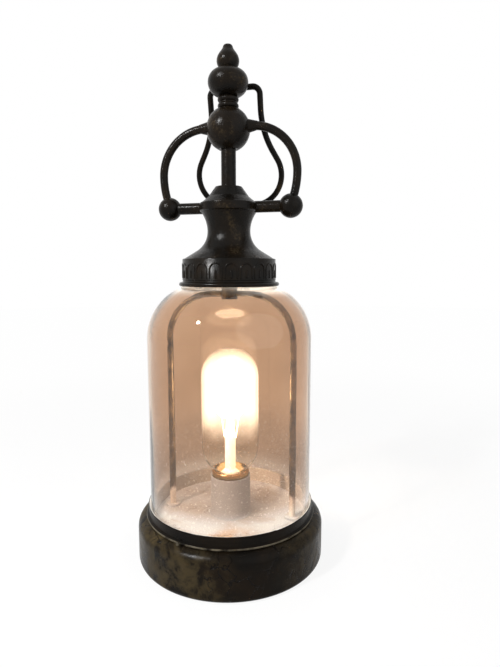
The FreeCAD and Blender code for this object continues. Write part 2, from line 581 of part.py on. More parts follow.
# ---------------------------------------------------------------- hoop and stud
def make_hoop():
    """Round rod bent to an arch; both ends pass the pan and the deck and take nuts."""
    corner_x = "hoop_reach - hoop_corner"
    node("hoop", bent_rod("hoop", [
        ("0", "hoop_level"),
        (corner_x, "hoop_level", "-hoop_corner"),
        ("hoop_reach", "hoop_level - hoop_corner"),
        ("hoop_reach", "deck_level - hoop_tail"),
    ], "hoop_rod", "hoop_level", mirrored=True))
    under_deck = "deck_level - drum_wall"
    collars, washers, nuts = [], [], []
    for side, sign in SIDES:
        x = sign + "hoop_reach"
        rings = (
            (collars, "foot_collar_", "collar_foot_radius", "collar_foot_height", "pan_top"),
            (washers, "washer_", "washer_radius", "washer_height", under_deck + " - washer_height"),
        )
        for store, name, radius, height, level in rings:
            disc = cylinder(name + "disc_" + side, radius, height, x, z=level)
            hole = cylinder(name + "hole_" + side, "hoop_rod", height, x, z=level)
            store.append(cut(name + side, disc, hole))
        nut_level = under_deck + " - washer_height - nut_height"
        blank = prism("nut_blank_" + side, "nut_flats", "nut_height", x, z=nut_level)
        thread = cylinder("nut_hole_" + side, "hoop_rod", "nut_height", x, z=nut_level)
        nuts.append(cut("nut_" + side, blank, thread))
    node("foot_collars", group("foot_collars", collars))
    node("hoop_washers", group("hoop_washers", washers))
    node("hoop_nuts", group("hoop_nuts", nuts))
    boss_foot = "hoop_level - hoop_rod - boss_below"
    boss_height = "boss_below + hoop_rod + boss_above"
    boss = cylinder("boss_blank", "boss_radius", boss_height, z=boss_foot)
    cross = turn(cylinder("boss_cross", "hoop_rod", "boss_radius * 4", "-2 * boss_radius", z="hoop_level"),
                 Y_AXIS, 90)
    socket = cylinder("boss_socket", "stud_radius", "boss_above * 2", z="hoop_level + hoop_rod")
    node("stud_boss", cut("stud_boss", boss, cross, socket))
    node("stud", turned("stud", [
        ("0", "hoop_level + hoop_rod"),
        ("stud_radius", "hoop_level + hoop_rod"),
        ("stud_radius", "stud_top - stud_point"),
        ("stud_radius - stud_point", "stud_top"),
        ("0", "stud_top"),
    ]))


# ---------------------------------------------------------------- bulb
def make_bulb():
    """Tubular bulb: round-ended envelope cemented in a screw cap, with its mount inside."""
    node("bulb_contact", cylinder("bulb_contact", "contact_radius", "contact_height", z="contact_foot"))
    node("bulb_insulator", turned("bulb_insulator", [
        ("0", "contact_foot + contact_height"),
        ("cap_insulator_foot", "contact_foot + contact_height"),
        ("cap_radius - cap_taper - cap_wall", "cap_foot"),
        ("0", "cap_foot"),
    ]))
    node("bulb_cap", turned("bulb_cap", [
        ("cap_radius - cap_taper - cap_wall", "cap_foot"),
        ("cap_radius - cap_taper", "cap_foot"),
        ("cap_radius", "cap_foot + cap_taper"),
        ("cap_radius", "cap_top"),
        ("cap_radius - cap_wall", "cap_top"),
        ("cap_radius - cap_wall", "cap_foot + cap_taper"),
    ]))
    neck_level = "cap_top - cap_height / 2"
    inner = "bulb_radius - bulb_wall"
    inner_join = "bulb_low_centre - sqrt((bulb_radius - bulb_wall) ^ 2 - (bulb_neck - bulb_wall) ^ 2)"
    node("bulb_glass", turned("bulb_glass", [
        ("bulb_neck - bulb_wall", neck_level),
        ("bulb_neck", neck_level),
        ("bulb_neck", "cap_top", "bulb_radius"),
        ("bulb_radius", "bulb_low_centre"),
        ("bulb_radius", "bulb_high_centre", "bulb_radius"),
        ("0", "bulb_high_centre + bulb_radius"),
        ("0", "bulb_high_centre + bulb_radius - bulb_wall", "-(bulb_radius - bulb_wall)"),
        (inner, "bulb_high_centre"),
        (inner, "bulb_low_centre", "-(bulb_radius - bulb_wall)"),
        ("bulb_neck - bulb_wall", inner_join),
    ]))
    node("bulb_stem", turned("bulb_stem", [
        ("0", neck_level),
        ("bulb_neck - bulb_wall", neck_level),
        ("bulb_neck - bulb_wall", neck_level + " + bulb_wall"),
        ("stem_radius", "cap_top"),
        ("stem_radius", "cap_top + stem_height * 0.6"),
        ("stem_radius / 2", "cap_top + stem_height"),
        ("0", "cap_top + stem_height"),
    ]))
    filament_top = "cap_top + filament_height"
    legs = []
    for side, sign in SIDES:
        base = "cap_top + stem_height * 0.55"
        rise = "(%s - (%s))" % (filament_top, base)
        reach = "sqrt((filament_half_width - stem_radius) ^ 2 + %s ^ 2) - filament_radius * 1.05" % rise
        support = cylinder("filament_support_" + side, "support_radius", reach,
                           sign + "(stem_radius + support_radius)", z=base)
        legs.append(support)
        bind(support, "Placement.Rotation.Angle",
             sign + "atan((filament_half_width - stem_radius) / (%s - (%s)))" % (filament_top, base))
        support.Placement.Rotation.Axis = Y_AXIS
    coil = turn(cylinder("filament_coil", "filament_radius", "2 * filament_half_width",
                         "-filament_half_width", z=filament_top), Y_AXIS, 90)
    node("filament_supports", group("filament_supports", legs))
    node("filament", coil)


# ---------------------------------------------------------------- jar and gasket
def make_jar():
    """Blown bell jar: straight wall, round shoulder, short open neck, polished foot edge."""
    reach = "jar_fillet_run / jar_fillet_span"
    climb = "jar_fillet_rise / jar_fillet_span"
    inner = "(jar_shoulder - jar_wall)"
    node("glass_jar", turned("glass_jar", [
        ("jar_radius - jar_wall + jar_edge", "jar_foot"),
        ("jar_radius - jar_edge", "jar_foot", "jar_edge"),
        ("jar_radius", "jar_foot + jar_edge"),
        ("jar_radius", "jar_shoulder_level", "jar_shoulder"),
        ("jar_centre_radius + jar_shoulder * " + reach, "jar_shoulder_level + jar_shoulder * " + climb,
         "-jar_neck_fillet"),
        ("jar_neck", "jar_fillet_level"),
        ("jar_neck", "jar_mouth"),
        ("jar_neck - jar_wall", "jar_mouth"),
        ("jar_neck - jar_wall", "jar_fillet_level", "(jar_neck_fillet + jar_wall)"),
        ("jar_centre_radius + %s * %s" % (inner, reach), "jar_shoulder_level + %s * %s" % (inner, climb),
         "-(jar_shoulder - jar_wall)"),
        ("jar_radius - jar_wall", "jar_shoulder_level"),
        ("jar_radius - jar_wall", "jar_foot + jar_edge", "jar_edge"),
    ]))
    ring = cylinder("gasket_disc", "jar_neck + fit_gap", "gasket_height", z="gasket_foot")
    hole = cylinder("gasket_hole", "jar_neck - jar_wall - fit_gap", "gasket_height", z="gasket_foot")
    node("neck_gasket", cut("neck_gasket", ring, hole))


# ---------------------------------------------------------------- crown
def make_cap():
    """Band with its rolled lip, the spun bell above it, and the hub plate soldered inside."""
    bead_top = "sqrt(lip_bead ^ 2 - lip_reach ^ 2)"
    node("cap_band", turned("cap_band", [
        ("band_bore", "lip_level"),
        ("band_bore + band_wall / 2", "lip_level - lip_bead / 2"),
        ("lip_centre_radius", "lip_level - lip_bead", "lip_bead"),
        ("lip_centre_radius + lip_bead", "lip_level", "lip_bead"),
        ("lip_centre_radius", "lip_level + lip_bead"),
        ("band_radius", "lip_level + lip_bead * 1.2"),
        ("band_radius", "band_top"),
        ("band_bore", "band_top"),
    ]))
    foot_out = "band_radius - band_step"
    slope_x = "bell_sweep_centre - bell_sweep * cos(bell_sweep_angle)"
    slope_z = "waist_level - bell_sweep * sin(bell_sweep_angle)"
    inner_x = "bell_sweep_centre - (bell_sweep + bell_wall) * cos(bell_sweep_angle)"
    inner_z = "waist_level - (bell_sweep + bell_wall) * sin(bell_sweep_angle)"
    bell = node("cap_bell", turned("cap_bell", [
        (foot_out + " - bell_wall", "band_top"),
        (foot_out, "band_top"),
        (slope_x, slope_z, "-bell_sweep"),
        ("waist_radius", "waist_level", "-bell_flare"),
        ("bell_top_radius", "bell_top"),
        ("bell_bore_radius", "bell_top", "(bell_flare + bell_wall)"),
        ("waist_radius - bell_wall", "waist_level", "(bell_sweep + bell_wall)"),
        (inner_x, inner_z),
    ]))
    bore = "stud_radius + pin_gap"
    node("hub_plate", turned("hub_plate", [
        (bore, "hub_foot - hub_below"),
        ("hub_radius", "hub_foot - hub_below"),
        ("hub_radius", "hub_foot"),
        ("band_bore", "hub_foot"),
        ("band_bore", "hub_top"),
        ("hub_radius", "hub_top"),
        ("hub_radius", "hub_top + hub_above"),
        ("rod_radius", "hub_top + hub_above"),
        ("rod_radius", "hub_top + hub_above - hub_cap"),
        (bore, "hub_top + hub_above - hub_cap"),
    ]))
    node("tie_rod", cylinder("tie_rod", "rod_radius",
                             "upper_ball_crest + finial_belly - (hub_top + hub_above - hub_cap)",
                             z="hub_top + hub_above - hub_cap"))
    return bell


def make_collar():
    """Turned collar flange with a spigot in the bell and a two-step cone on top."""
    return node("collar", turned("collar", [
        ("spigot_radius - collar_wall", "bell_top - collar_spigot"),
        ("spigot_radius", "bell_top - collar_spigot"),
        ("spigot_radius", "bell_top"),
        ("collar_radius - collar_round", "bell_top", "collar_round"),
        ("collar_radius", "bell_top + collar_round"),
        ("collar_radius", "collar_top - collar_round", "collar_round"),
        ("collar_radius - collar_round", "collar_top"),
        ("cone_mid_radius", "collar_top + cone_mid_rise"),
        ("cone_neck_radius", "collar_top + cone_neck_rise"),
        ("cone_top_radius", "cone_top"),
        ("rod_radius + pin_gap", "cone_top"),
        ("rod_radius + pin_gap", "collar_top + cone_mid_rise - collar_wall"),
        ("cone_mid_radius - collar_wall", "collar_top + cone_mid_rise - collar_wall"),
        ("spigot_radius - collar_wall", "collar_top - collar_wall"),
    ]))


def make_stem():
    """Tube, large ball, grooved spacer, upper ball and bud finial, clamped by the tie rod."""
    bore = "rod_radius + pin_gap"
    tube = cylinder("stem_tube_rod", "stem_tube_radius", "stem_tube_length", z="cone_top")
    hole = cylinder("stem_tube_hole", bore, "stem_tube_length", z="cone_top")
    node("centre_tube", cut("centre_tube", tube, hole))
    low = "large_ball_centre - large_ball_low"
    high = "large_ball_centre + large_ball_low"
    node("large_ball", turned("large_ball", [
        (bore, low),
        ("large_ball_flat", low, "large_ball_radius"),
        ("large_ball_flat", high),
        (bore, high),
    ]))
    node("spacer_ring", turned("spacer_ring", [
        (bore, "spacer_foot"),
        ("spacer_core", "spacer_foot", "spacer_bead * 1.1"),
        ("spacer_core", "spacer_foot + 2 * spacer_bead"),
        ("spacer_core", "spacer_top - 2 * spacer_bead", "spacer_bead * 1.1"),
        ("spacer_core", "spacer_top"),
        (bore, "spacer_top"),
    ]))
    node("upper_ball", turned("upper_ball", [
        (bore, "spacer_top"),
        ("upper_ball_core_low", "spacer_top", "upper_ball_bottom"),
        ("upper_ball_radius", "upper_ball_centre", "upper_ball_top"),
        ("upper_ball_core_high", "upper_ball_crest"),
        (bore, "upper_ball_crest"),
    ]))
    node("finial", turned("finial", [
        ("0", "upper_ball_crest + finial_belly"),
        ("rod_radius", "upper_ball_crest + finial_belly"),
        ("rod_radius", "upper_ball_crest"),
        ("finial_foot", "upper_ball_crest", "finial_belly * 1.4"),
        ("finial_radius", "upper_ball_crest + finial_belly", "finial_radius * 1.15"),
        ("finial_tip * 1.15", "upper_ball_crest + finial_shoulder"),
        ("finial_tip", "upper_ball_crest + finial_height - finial_tip", "finial_tip"),
        ("0", "upper_ball_crest + finial_height"),
    ]))


def make_arms(collar, bell):
    """On each side: a bar from the collar to a ball, and a scroll tube from ball to ball."""
    for side, sign in SIDES:
        flip = 180 if sign else 0
        centre = ball("arm_ball_" + side, "arm_ball_radius", sign + "arm_reach", z="collar_middle")
        node(side + "_arm_ball", centre)
        rod = turn(cylinder("bar_rod_" + side, "bar_radius", "arm_reach - collar_radius * 0.9",
                            sign + "collar_radius * 0.9", z="collar_middle"), Y_AXIS, -90 if sign else 90)
        node(side + "_bar", cut("bar_" + side, rod, centre, collar, bell))
        start = "large_ball_radius * 0.8"
        tube = bent_rod("scroll_form_" + side, [
            (start, "scroll_level"),
            ("scroll_start", "scroll_level", "-scroll_sweep"),
            ("scroll_reach", "scroll_side_level", "-scroll_tuck"),
            ("scroll_reach - scroll_tuck * (1 - cos(scroll_tuck_angle))",
             "scroll_side_level - scroll_tuck * sin(scroll_tuck_angle)"),
        ], "scroll_radius", "scroll_level", mirrored=False, start_x=start)
        weld = doc.addObject("Part::Cone", "scroll_weld_" + side)
        bind(weld, "Radius1", "weld_radius")
        bind(weld, "Radius2", "scroll_radius * 1.01")
        bind(weld, "Height", "weld_length + large_ball_radius * 0.1")
        place(turn(weld, Y_AXIS, 90), "large_ball_radius * 0.9", z="scroll_level")
        arm = fuse("scroll_arm_" + side, tube, weld)
        turn(arm, FreeCAD.Vector(0, 0, 1), flip)
        ball_seat = ball("scroll_ball_seat_" + side, "large_ball_radius", z="large_ball_centre")
        node(side + "_scroll", cut("scroll_" + side, arm, centre, ball_seat))


def make_loop(collar):
    """Closed wire loop, leaning on the upper ball, hinged in the eye of a lug at the back."""
    loop = bent_rod("hanging_loop", [
        ("0", "0"),
        ("loop_foot", "0", "loop_lobe"),
        ("loop_lobe_x", "loop_lobe_y"),
        ("loop_neck_x", "loop_neck_y", "-loop_sweep"),
        ("loop_neck_half", "loop_throat_y"),
        ("loop_neck_half", "loop_height - loop_corner", "loop_corner"),
        ("loop_neck_half - loop_corner", "loop_height"),
        ("0", "loop_height"),
    ], "loop_wire", "0", mirrored=True)
    place(loop, y="loop_reach", z="loop_axis_level")
    loop.Placement = FreeCAD.Placement(loop.Placement.Base, FreeCAD.Rotation(X_AXIS, size("loop_lean")))
    bind(loop, "Placement.Rotation.Angle", "loop_lean")
    node("hanging_loop", loop)
    eye_radius = "loop_wire + pin_gap + lug_eye_wall"
    lug = doc.addObject("PartDesign::Body", "lug_form")
    profile = trace(new_sketch(lug, "lug_profile", "YZ_Plane"), [
        ("collar_radius * 0.85", "collar_middle - collar_height * 0.4"),
        ("loop_reach - loop_wire", "loop_axis_level - (%s) * 0.8" % eye_radius),
        ("loop_reach - loop_wire", "loop_axis_level + (%s) * 0.4" % eye_radius),
        ("collar_radius * 0.85", "collar_middle + collar_height * 0.4"),
    ])
    pad = lug.newObject("PartDesign::Pad", "lug_pad")
    pad.Profile = profile
    pad.Midplane = True
    bind(pad, "Length", "lug_width")
    eye = turn(cylinder("lug_eye", eye_radius, "lug_width", "-lug_width / 2", "loop_reach",
                        "loop_axis_level"), Y_AXIS, 90)
    pin_hole = turn(cylinder("lug_pin_hole", "loop_wire + pin_gap", "lug_width * 2", "-lug_width",
                             "loop_reach", "loop_axis_level"), Y_AXIS, 90)
    node("loop_lug", cut("loop_lug", fuse("lug_blank", lug, eye), pin_hole, collar))


drum = make_drum()
make_rim()
make_pan()
make_underside(drum)
make_outlet(drum)
make_terminals()
make_lampholder()
make_hoop()
make_bulb()
make_jar()
bell = make_cap()
collar = make_collar()
make_stem()
make_arms(collar, bell)
make_loop(collar)

# ---------------------------------------------------------------- checks and export
doc.recompute()
faults = [thing.Name for thing in doc.Objects if {"Invalid", "Error"} & set(thing.State)]
for piece in NODES:
    shape = piece.Shape
    if shape.isNull() or not shape.isValid() or not shape.Solids:
        faults.append(piece.Label)
if faults:
    raise RuntimeError("faulty objects: " + ", ".join(faults))
for piece in NODES:
    piece.Shape.exportStep(os.path.join(PARTS_FOLDER, piece.Label + ".step"))
    print("%-20s solids %d  volume %.1f" % (piece.Label, len(piece.Shape.Solids), piece.Shape.Volume))
print("nodes", len(NODES))
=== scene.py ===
"""Lantern table lamp: a bronzed drum base, an open bell jar over a rod hoop, a lit tubular bulb, and a
turned crown with scroll arms and a wire hanging loop. Metres, +Z up, loop and cord outlet at the back."""
import math
import bpy
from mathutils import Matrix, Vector


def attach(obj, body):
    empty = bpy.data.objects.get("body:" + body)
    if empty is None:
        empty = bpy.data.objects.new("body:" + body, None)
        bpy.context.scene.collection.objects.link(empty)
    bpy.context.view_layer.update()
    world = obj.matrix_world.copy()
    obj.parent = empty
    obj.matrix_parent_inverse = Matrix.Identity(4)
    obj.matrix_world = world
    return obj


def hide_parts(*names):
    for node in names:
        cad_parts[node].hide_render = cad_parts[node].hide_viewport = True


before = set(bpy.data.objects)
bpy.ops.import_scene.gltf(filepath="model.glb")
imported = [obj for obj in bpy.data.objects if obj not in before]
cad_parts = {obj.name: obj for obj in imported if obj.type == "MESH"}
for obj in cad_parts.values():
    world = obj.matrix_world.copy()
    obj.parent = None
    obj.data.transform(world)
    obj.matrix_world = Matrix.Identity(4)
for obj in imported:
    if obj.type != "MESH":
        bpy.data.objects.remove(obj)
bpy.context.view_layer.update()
bpy.ops.object.select_all(action="DESELECT")

# ---------------------------------------------------------------- drum shell
# The drum is spun from steel sheet: rolled foot, round shoulder, and a step down to the deck.
# It is lacquered near-black bronze over a golden coat that shows where hands have rubbed it.
mm = 0.001
shoulder_foot, shoulder_top = 26.5 * mm, 31.0 * mm
lacquer_dark = (0.0032, 0.0028, 0.0022, 1)
lacquer_brown = (0.0095, 0.0060, 0.0032, 1)
rubbed_gold = (0.13, 0.080, 0.028, 1)
worn_gold = (0.058, 0.042, 0.019, 1)
crack_black = (0.003, 0.002, 0.0015, 1)


def start_material(name):
    """A Principled material on Object coordinates; returns it with its tree, shader and coordinates."""
    material = bpy.data.materials.new(name)
    material.use_nodes = True
    tree = material.node_tree
    shader = tree.nodes["Principled BSDF"]
    place = tree.nodes.new("ShaderNodeTexCoord").outputs["Object"]
    return material, tree, shader, place


def link(tree, source, target):
    tree.links.new(source, target)


def math_node(tree, operation, *values):
    """One Math node; each value is a number or a socket."""
    node = tree.nodes.new("ShaderNodeMath")
    node.operation = operation
    for index, value in enumerate(values):
        if isinstance(value, bpy.types.NodeSocket):
            link(tree, value, node.inputs[index])
        else:
            node.inputs[index].default_value = value
    return node.outputs[0]


def ramp_between(tree, value, low, high, smooth=True):
    """0 below low and 1 above high, or the other way round when low is above high."""
    node = tree.nodes.new("ShaderNodeMapRange")
    node.interpolation_type = "SMOOTHSTEP" if smooth else "LINEAR"
    for socket, amount in ((0, value), (1, low), (2, high)):
        if isinstance(amount, bpy.types.NodeSocket):
            link(tree, amount, node.inputs[socket])
        else:
            node.inputs[socket].default_value = amount
    return node.outputs[0]


def noise(tree, place, scale, detail=4.0, roughness=0.55, distortion=0.0):
    node = tree.nodes.new("ShaderNodeTexNoise")
    link(tree, place, node.inputs["Vector"])
    if isinstance(scale, bpy.types.NodeSocket):
        link(tree, scale, node.inputs["Scale"])
    else:
        node.inputs["Scale"].default_value = scale
    node.inputs["Detail"].default_value = detail
    node.inputs["Roughness"].default_value = roughness
    node.inputs["Distortion"].default_value = distortion
    return node.outputs["Fac"]


def blend_colours(tree, amount, first, second, mode="MIX"):
    node = tree.nodes.new("ShaderNodeMix")
    node.data_type = "RGBA"
    node.blend_type = mode
    for name, value in (("Factor_Float", amount), ("A_Color", first), ("B_Color", second)):
        socket = next(s for s in node.inputs if s.identifier == name)
        if isinstance(value, bpy.types.NodeSocket):
            link(tree, value, socket)
        else:
            socket.default_value = value
    return next(s for s in node.outputs if s.identifier == "Result_Color")


def raise_surface(tree, shader, height, distance, strength=1.0):
    """Bump from a height socket; distance in metres."""
    bump = tree.nodes.new("ShaderNodeBump")
    bump.inputs["Strength"].default_value = strength
    bump.inputs["Distance"].default_value = distance
    link(tree, height, bump.inputs["Height"])
    link(tree, bump.outputs["Normal"], shader.inputs["Normal"])
    return bump


def stretch(tree, place, x, y, z):
    """The coordinates scaled along each axis, to draw a pattern out."""
    node = tree.nodes.new("ShaderNodeMapping")
    node.inputs["Scale"].default_value = (x, y, z)
    link(tree, place, node.inputs["Vector"])
    return node.outputs["Vector"]


def start_group(name, inputs, outputs):
    group = bpy.data.node_groups.new(name, "ShaderNodeTree")
    kinds = {"colour": "NodeSocketColor", "number": "NodeSocketFloat", "vector": "NodeSocketVector"}
    for label, kind, value in inputs:
        socket = group.interface.new_socket(name=label, in_out="INPUT", socket_type=kinds[kind])
        if value is not None:
            socket.default_value = value
    for label, kind in outputs:
        group.interface.new_socket(name=label, in_out="OUTPUT", socket_type=kinds[kind])
    return group, group.nodes.new("NodeGroupInput").outputs, group.nodes.new("NodeGroupOutput").inputs


def use_group(tree, group, **values):
    """Place a group; each value is a number, a colour or a socket."""
    node = tree.nodes.new("ShaderNodeGroup")
    node.node_tree = group
    for label, value in values.items():
        socket = node.inputs[label.replace("_", " ")]
        if isinstance(value, bpy.types.NodeSocket):
            link(tree, value, socket)
        else:
            socket.default_value = value
    return node.outputs


# bronze lacquer rubbed through in patches: colour, roughness, height and the rubbed mask
rubbed_lacquer, given, out = start_group(
    "rubbed lacquer",
    (("Place", "vector", None), ("Lacquer", "colour", lacquer_dark), ("Under", "colour", rubbed_gold),
     ("Rub", "number", 0.2), ("Patch", "number", 40.0), ("Grain", "number", 420.0)),
    (("Colour", "colour"), ("Roughness", "number"), ("Height", "number"), ("Mask", "number")))
tree = rubbed_lacquer
patches = noise(tree, given["Place"], given["Patch"], 5.0, 0.6, 0.4)
grain = noise(tree, given["Place"], given["Grain"], 3.0, 0.7)
mixed = math_node(tree, "MULTIPLY_ADD", grain, 0.35, math_node(tree, "MULTIPLY", patches, 0.65))
edge = math_node(tree, "MULTIPLY_ADD", given["Rub"], -0.5, 0.78)
mask = ramp_between(tree, mixed, edge, math_node(tree, "ADD", edge, 0.14))
tone = blend_colours(tree, ramp_between(tree, patches, 0.3, 0.75), given["Lacquer"], lacquer_brown)
link(tree, blend_colours(tree, mask, tone, given["Under"]), out["Colour"])
link(tree, math_node(tree, "MULTIPLY_ADD", grain, 0.22,
                     math_node(tree, "MULTIPLY_ADD", mask, 0.15, 0.12)), out["Roughness"])
link(tree, math_node(tree, "MULTIPLY_ADD", patches, 0.7, math_node(tree, "MULTIPLY", grain, 0.3)),
     out["Height"])
link(tree, mask, out["Mask"])


def bronze_finish(name, rub, patch=45.0, grain=450.0, depth=0.0004, under=rubbed_gold, lacquer=lacquer_dark):
    """Bronze lacquer with its own amount of rubbing, for pieces of the frame and the crown."""
    material, tree, shader, place = start_material(name)
    coat = use_group(tree, rubbed_lacquer, Place=place, Rub=rub, Patch=patch, Grain=grain, Under=under,
                     Lacquer=lacquer)
    link(tree, coat["Colour"], shader.inputs["Base Color"])
    link(tree, coat["Roughness"], shader.inputs["Roughness"])
    link(tree, ramp_between(tree, coat["Mask"], 0.0, 1.2), shader.inputs["Metallic"])
    shader.inputs["Specular IOR Level"].default_value = 0.09
    raise_surface(tree, shader, coat["Height"], depth)
    return material


def dress(material, *nodes):
    """Give CAD nodes that stay as they are their finish."""
    for name in nodes:
        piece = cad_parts[name]
        if not piece.material_slots:
            piece.data.materials.append(material)
        for slot in piece.material_slots:
            slot.material = material


def place_mask(tree, place, centre, reach, soft):
    """1 within reach of a point and 0 beyond, for wear that the real piece has in one spot."""
    away = tree.nodes.new("ShaderNodeVectorMath")
    away.operation = "DISTANCE"
    link(tree, place, away.inputs[0])
    away.inputs[1].default_value = centre
    return ramp_between(tree, away.outputs["Value"], reach + soft, reach)


def height_of(tree, place):
    parts = tree.nodes.new("ShaderNodeSeparateXYZ")
    link(tree, place, parts.inputs[0])
    return parts.outputs["Z"]


def reach_of(tree, place):
    """Distance from the lamp's axis."""
    flat = tree.nodes.new("ShaderNodeVectorMath")
    flat.operation = "MULTIPLY"
    link(tree, place, flat.inputs[0])
    flat.inputs[1].default_value = (1, 1, 0)
    length = tree.nodes.new("ShaderNodeVectorMath")
    length.operation = "LENGTH"
    link(tree, flat.outputs[0], length.inputs[0])
    return length.outputs["Value"]


# crackle in old lacquer: thin lines between cells, only where the mask lets them through
crackle, given, out = start_group(
    "crackle",
    (("Place", "vector", None), ("Scale", "number", 90.0), ("Width", "number", 0.03),
     ("Where", "number", 0.5)),
    (("Line", "number"),))
tree = crackle
bend = tree.nodes.new("ShaderNodeTexNoise")
bend.inputs["Scale"].default_value = 160.0
link(tree, given["Place"], bend.inputs["Vector"])
shifted = tree.nodes.new("ShaderNodeVectorMath")
shifted.operation = "MULTIPLY_ADD"
link(tree, bend.outputs["Color"], shifted.inputs[0])
shifted.inputs[1].default_value = (0.012, 0.012, 0.012)
link(tree, given["Place"], shifted.inputs[2])
cells = tree.nodes.new("ShaderNodeTexVoronoi")
cells.feature = "DISTANCE_TO_EDGE"
link(tree, shifted.outputs[0], cells.inputs["Vector"])
link(tree, given["Scale"], cells.inputs["Scale"])
line = ramp_between(tree, cells.outputs["Distance"], given["Width"], 0.0)
some = noise(tree, given["Place"], 38.0, 2.0, 0.5)
edge = math_node(tree, "SUBTRACT", 0.85, math_node(tree, "MULTIPLY", given["Where"], 0.6))
let_through = ramp_between(tree, some, edge, math_node(tree, "ADD", edge, 0.08))
link(tree, math_node(tree, "MULTIPLY", line, let_through), out["Line"])

drum_bronze, tree, shader, place = start_material("drum bronze")
coat = use_group(tree, rubbed_lacquer, Place=place, Rub=0.12, Patch=38.0, Grain=420.0)
# hands have worn the left shoulder, the lower front and both flanks
shoulder = ramp_between(tree, height_of(tree, place), shoulder_foot, shoulder_top)
worn = math_node(tree, "MULTIPLY", shoulder, place_mask(tree, place, (-0.055, -0.045, 0.03), 0.02, 0.05))
low_front = place_mask(tree, place, (-0.022, -0.070, 0.008), 0.014, 0.038)
left_flank = place_mask(tree, place, (-0.072, -0.02, 0.02), 0.015, 0.05)
right_flank = place_mask(tree, place, (0.072, -0.012, 0.02), 0.01, 0.05)
blotches = noise(tree, place, 62.0, 6.0, 0.68, 0.5)
rubbing = math_node(tree, "MAXIMUM", math_node(tree, "MULTIPLY", worn, 0.9),
                    math_node(tree, "MAXIMUM", math_node(tree, "MULTIPLY", low_front, 0.65),
                              math_node(tree, "MAXIMUM", math_node(tree, "MULTIPLY", left_flank, 0.6),
                                        math_node(tree, "MULTIPLY", right_flank, 0.5))))
gold = math_node(tree, "MULTIPLY", rubbing, ramp_between(tree, blotches, 0.38, 0.62))
cracks = use_group(tree, crackle, Place=place, Scale=75.0, Width=0.035, Where=0.55)
colour = blend_colours(tree, gold, coat["Colour"], worn_gold)
colour = blend_colours(tree, cracks["Line"], colour, crack_black)
link(tree, colour, shader.inputs["Base Color"])
link(tree, math_node(tree, "MULTIPLY_ADD", gold, 0.25, coat["Roughness"]), shader.inputs["Roughness"])
shader.inputs["Specular IOR Level"].default_value = 0.06
dents = noise(tree, place, 42.0, 2.0, 0.5, 0.3)
relief = math_node(tree, "MULTIPLY_ADD", cracks["Line"], -0.5,
                   math_node(tree, "MULTIPLY_ADD", coat["Height"], 0.35, dents))
raise_surface(tree, shader, relief, 0.0012)
dress(drum_bronze, "drum_shell")

# ---------------------------------------------------------------- rim ring
# A spun ring stands on the deck and keeps the jar in place. A small bead closes the joint with the
# drum. It is black outside and has white paint on its inner wall.
rim_wall_outside, rim_wall_inside = 64.2 * mm, 63.9 * mm
bead_side, bead_crest = 65.5 * mm, 65.9 * mm
rim_bronze, tree, shader, place = start_material("rim bronze")
coat = use_group(tree, rubbed_lacquer, Place=place, Rub=0.06, Patch=30.0, Grain=420.0)
wander = noise(tree, place, 120.0, 3.0, 0.6)
inner = ramp_between(tree, math_node(tree, "MULTIPLY_ADD", wander, 0.6 * mm, reach_of(tree, place)),
                     rim_wall_outside, rim_wall_inside)
cream = blend_colours(tree, wander, (0.60, 0.61, 0.62, 1), (0.72, 0.73, 0.74, 1))
colour = blend_colours(tree, inner, coat["Colour"], cream)
# the bead's crest is rubbed bright all round
crest = ramp_between(tree, reach_of(tree, place), bead_side, bead_crest)
colour = blend_colours(tree, math_node(tree, "MULTIPLY", crest, ramp_between(tree, wander, 0.3, 0.6)),
                       colour, (0.10, 0.085, 0.06, 1))
link(tree, colour, shader.inputs["Base Color"])
link(tree, math_node(tree, "MULTIPLY_ADD", inner, 0.3, coat["Roughness"]), shader.inputs["Roughness"])
shader.inputs["Specular IOR Level"].default_value = 0.06
raise_surface(tree, shader, coat["Height"], 0.0006)
dress(rim_bronze, "rim_ring")

# ---------------------------------------------------------------- pan, feet and sleeve
# The pressed pan, the collars round the hoop's feet and the candle sleeve are brushed over with
# white paint, which has pooled, stained and gathered dust.
stained_paint, given, out = start_group(
    "stained paint",
    (("Place", "vector", None), ("Paint", "colour", (0.78, 0.71, 0.62, 1)),
     ("Stain", "colour", (0.52, 0.34, 0.19, 1)), ("Amount", "number", 0.3), ("Scale", "number", 40.0)),
    (("Colour", "colour"), ("Roughness", "number"), ("Height", "number")))
tree = stained_paint
clouds = noise(tree, given["Place"], given["Scale"], 5.0, 0.6, 0.6)
dust = noise(tree, given["Place"], 900.0, 2.0, 0.6)
edge = math_node(tree, "MULTIPLY_ADD", given["Amount"], -0.5, 0.75)
stain = ramp_between(tree, clouds, edge, math_node(tree, "ADD", edge, 0.25))
tone = blend_colours(tree, math_node(tree, "MULTIPLY", stain, 0.5), given["Paint"], given["Stain"])
speck = ramp_between(tree, dust, 0.36, 0.3)
link(tree, blend_colours(tree, math_node(tree, "MULTIPLY", speck, 0.35), tone, (0.3, 0.25, 0.2, 1)),
     out["Colour"])
link(tree, math_node(tree, "MULTIPLY_ADD", clouds, 0.3, 0.38), out["Roughness"])
link(tree, math_node(tree, "MULTIPLY_ADD", dust, 0.3, clouds), out["Height"])


def paint_finish(name, amount, scale=40.0, paint=(0.78, 0.71, 0.62, 1), stain=(0.52, 0.34, 0.19, 1)):
    material, tree, shader, place = start_material(name)
    coat = use_group(tree, stained_paint, Place=place, Amount=amount, Scale=scale, Paint=paint, Stain=stain)
    link(tree, coat["Colour"], shader.inputs["Base Color"])
    link(tree, coat["Roughness"], shader.inputs["Roughness"])
    raise_surface(tree, shader, coat["Height"], 0.0004)
    return material


